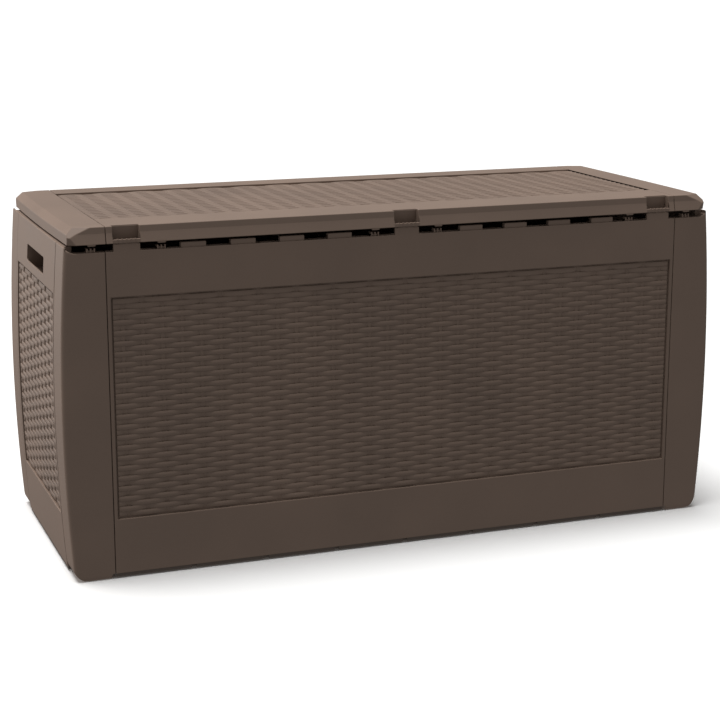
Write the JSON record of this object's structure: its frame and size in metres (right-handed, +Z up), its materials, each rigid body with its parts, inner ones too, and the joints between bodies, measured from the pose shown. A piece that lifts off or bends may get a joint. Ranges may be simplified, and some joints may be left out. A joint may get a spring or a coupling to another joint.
{
  "type": "deck storage box",
  "caption": "Wide low garden storage box in woven-look resin with bowed ends, corner posts with feet, hand holes and a shallow hinged lid.",
  "frame": {"origin": "on the ground, at the middle of the box's footprint", "axes": "+X along the box's length to the right as seen from the front, -Y towards the front, +Z up"},
  "size_m": [1.17, 0.468, 0.578],
  "materials": {
    "wall_resin": "warm grey-brown moulded resin, fine grain, soft sheen",
    "lid_resin": "warm grey-brown moulded resin, fine grain, soft sheen",
    "floor_resin": "darker brown moulded resin, plain",
    "hinge_resin": "darker brown moulded resin, plain",
    "pin_steel": "plain drawn steel rod"
  },
  "bodies": {
    "box": {"floor_panel": "floor_resin", "front_wall": "wall_resin", "rear_wall": "wall_resin", "left_end_wall": "wall_resin", "right_end_wall": "wall_resin", "front_left_post": "wall_resin", "front_right_post": "wall_resin", "rear_left_post": "wall_resin", "rear_right_post": "wall_resin", "hinge_bracket_left": "hinge_resin", "hinge_bracket_centre": "hinge_resin", "hinge_bracket_right": "hinge_resin", "hinge_pin_left": "pin_steel", "hinge_pin_centre": "pin_steel", "hinge_pin_right": "pin_steel"},
    "lid": {"lid_centre_panel": "lid_resin", "lid_left_end": "lid_resin", "lid_right_end": "lid_resin", "lid_hinge_leaf_left": "hinge_resin", "lid_hinge_leaf_centre": "hinge_resin", "lid_hinge_leaf_right": "hinge_resin"}
  },
  "joints": [
    {"name": "lid_hinge", "type": "hinge", "parent": "box", "child": "lid", "pos_m": [0, 0.222, 0.558], "axis": [-1, 0, 0], "range_deg": [0, 95]}
  ]
}
